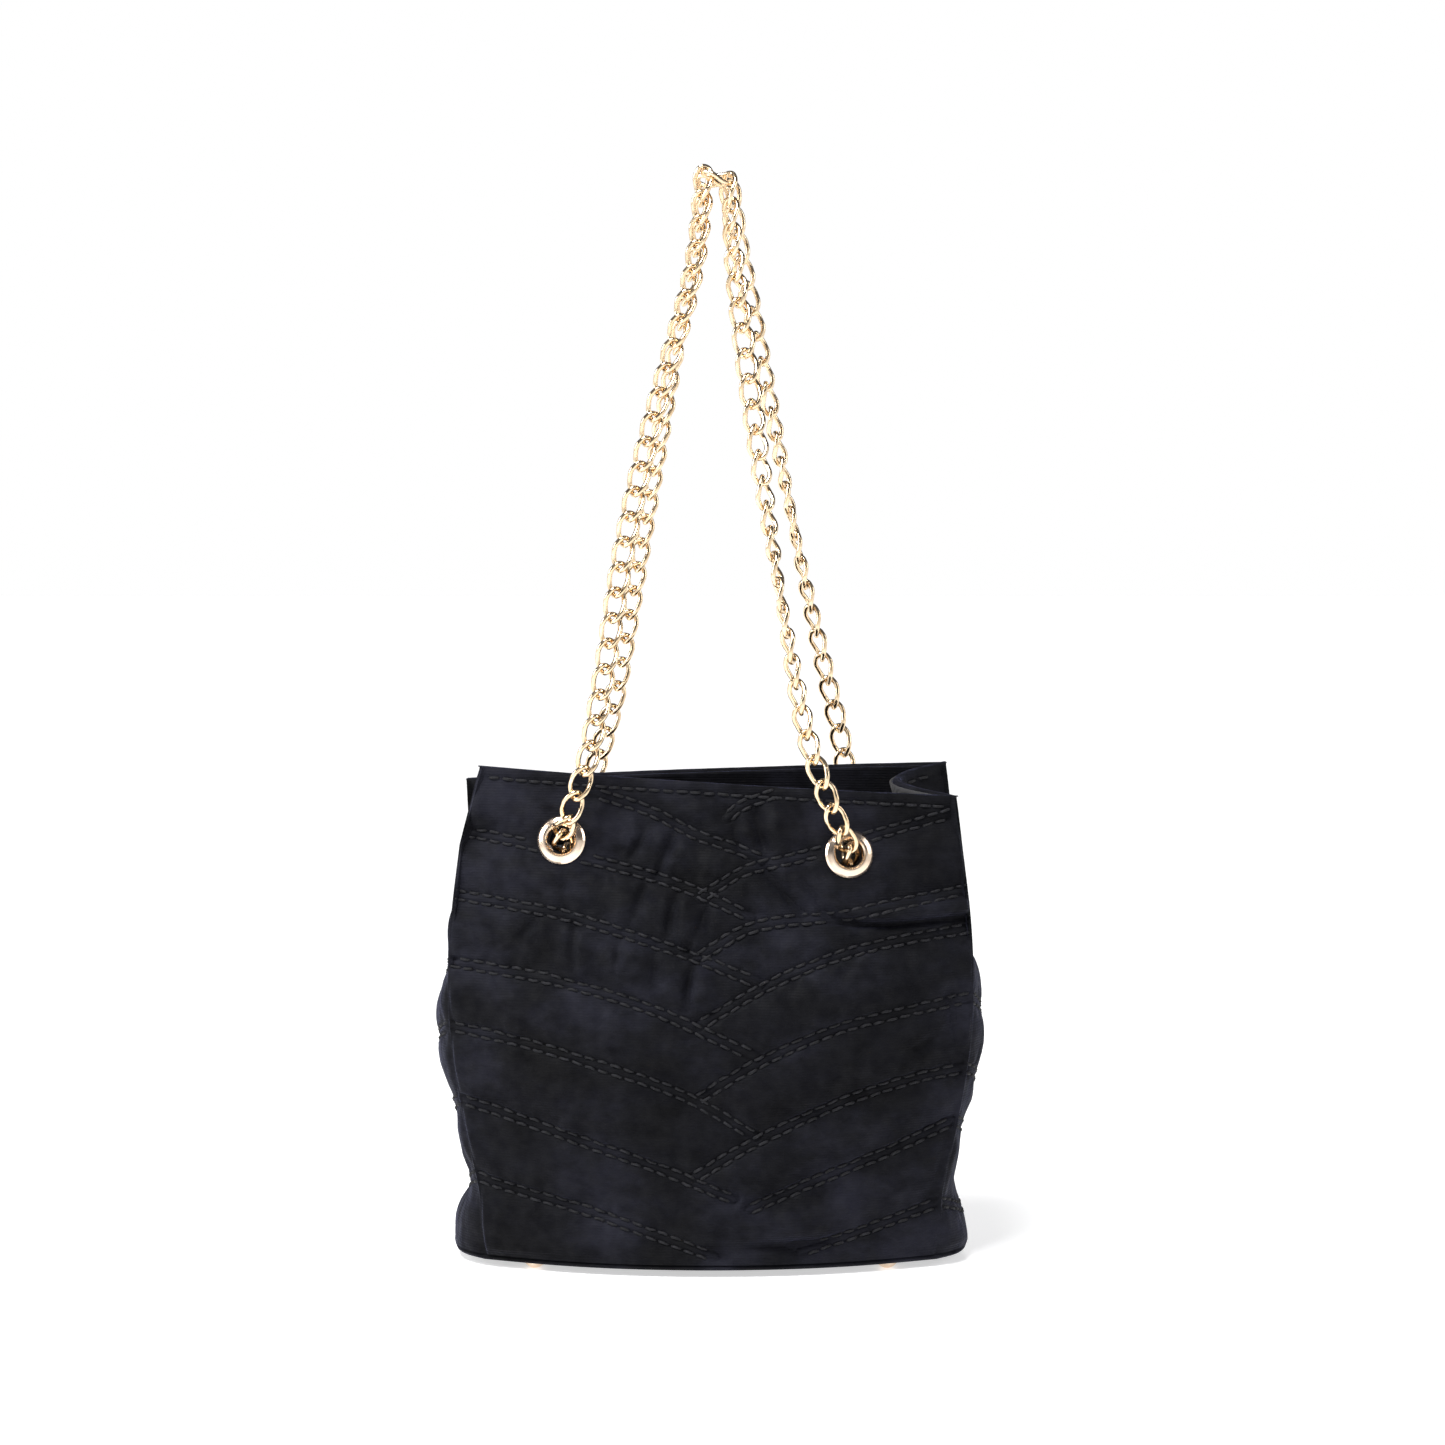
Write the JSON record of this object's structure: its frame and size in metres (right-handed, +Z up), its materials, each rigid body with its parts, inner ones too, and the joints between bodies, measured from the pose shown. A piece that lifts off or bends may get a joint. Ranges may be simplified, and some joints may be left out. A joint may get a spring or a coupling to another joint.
{
  "type": "bucket bag",
  "caption": "Quilted velvet bucket bag with an oval base, folded gussets, metal eyelets, dome feet and twin loops of curb chain.",
  "frame": {"origin": "centre of the base on the floor, level with the bottoms of the feet", "axes": "+Z up, -Y out of the front panel, +X to the right seen from the front"},
  "size_m": [0.2492, 0.123, 0.4938],
  "materials": {
    "velvet": "black cotton velvet, quilted in a chevron pattern with thick black topstitching",
    "lining": "black twill lining",
    "board": "pressed fibre stiffener",
    "chain_gold": "polished pale gold plating",
    "hardware_gold": "polished champagne gold plating"
  },
  "bodies": {
    "bag": {"back_facing": "velvet", "back_left_eyelet": "hardware_gold", "back_left_eyelet_washer": "hardware_gold", "back_left_foot": "hardware_gold", "back_left_foot_washer": "hardware_gold", "back_lining": "lining", "back_panel": "velvet", "back_right_eyelet": "hardware_gold", "back_right_eyelet_washer": "hardware_gold", "back_right_foot": "hardware_gold", "back_right_foot_washer": "hardware_gold", "base_board": "board", "base_lining": "lining", "base_panel": "velvet", "front_facing": "velvet", "front_left_eyelet": "hardware_gold", "front_left_eyelet_washer": "hardware_gold", "front_left_foot": "hardware_gold", "front_left_foot_washer": "hardware_gold", "front_lining": "lining", "front_panel": "velvet", "front_right_eyelet": "hardware_gold", "front_right_eyelet_washer": "hardware_gold", "front_right_foot": "hardware_gold", "front_right_foot_washer": "hardware_gold", "left_gusset": "velvet", "left_gusset_lining": "lining", "left_inner_chain": "chain_gold", "left_snap_socket": "hardware_gold", "left_snap_stud": "hardware_gold", "right_gusset": "velvet", "right_gusset_lining": "lining", "right_inner_chain": "chain_gold", "right_snap_socket": "hardware_gold", "right_snap_stud": "hardware_gold"},
    "front_chain_first": {"front_left_chain_first": "chain_gold", "front_right_chain_first": "chain_gold"},
    "front_chain_lower": {"front_left_chain_lower": "chain_gold", "front_right_chain_lower": "chain_gold"},
    "front_chain_middle": {"front_left_chain_middle": "chain_gold", "front_right_chain_middle": "chain_gold"},
    "front_chain_upper": {"front_apex_link": "chain_gold", "front_left_chain_upper": "chain_gold", "front_right_chain_upper": "chain_gold"},
    "back_chain_first": {"back_left_chain_first": "chain_gold", "back_right_chain_first": "chain_gold"},
    "back_chain_lower": {"back_left_chain_lower": "chain_gold", "back_right_chain_lower": "chain_gold"},
    "back_chain_middle": {"back_left_chain_middle": "chain_gold", "back_right_chain_middle": "chain_gold"},
    "back_chain_upper": {"back_apex_link": "chain_gold", "back_left_chain_upper": "chain_gold", "back_right_chain_upper": "chain_gold"}
  },
  "joints": [
    {"name": "front_chain_swing", "type": "hinge", "parent": "bag", "child": "front_chain_first", "pos_m": [-0.0025, -0.04279, 0.19247], "axis": [0.9988, -0.0153, -0.0466], "range_deg": [0, 34]},
    {"name": "front_chain_droop", "type": "hinge", "parent": "front_chain_first", "child": "front_chain_lower", "pos_m": [-0.00272, -0.05023, 0.20059], "axis": [0.999, -0.0086, -0.044], "range_deg": [0, 40]},
    {"name": "front_chain_lower_fold", "type": "hinge", "parent": "front_chain_lower", "child": "front_chain_middle", "pos_m": [-0.00469, -0.04524, 0.27724], "axis": [0.9964, -0.0198, -0.0824], "range_deg": [0, 28]},
    {"name": "front_chain_upper_fold", "type": "hinge", "parent": "front_chain_middle", "child": "front_chain_upper", "pos_m": [-0.00335, -0.03064, 0.36664], "axis": [0.9932, -0.0163, -0.1155], "range_deg": [0, 22]},
    {"name": "back_chain_swing", "type": "hinge", "parent": "bag", "child": "back_chain_first", "pos_m": [0.00251, 0.04277, 0.19296], "axis": [-0.9999, 0.0073, -0.0079], "range_deg": [0, 34]},
    {"name": "back_chain_droop", "type": "hinge", "parent": "back_chain_first", "child": "back_chain_lower", "pos_m": [0.00269, 0.05016, 0.20179], "axis": [-1, -0.0045, 0.0015], "range_deg": [0, 40]},
    {"name": "back_chain_lower_fold", "type": "hinge", "parent": "back_chain_lower", "child": "back_chain_middle", "pos_m": [0.00443, 0.04418, 0.28009], "axis": [-0.9994, -0.0183, -0.0293], "range_deg": [0, 28]},
    {"name": "back_chain_upper_fold", "type": "hinge", "parent": "back_chain_middle", "child": "back_chain_upper", "pos_m": [0.00277, 0.03089, 0.37042], "axis": [-0.9959, -0.0045, -0.0903], "range_deg": [0, 22]}
  ]
}
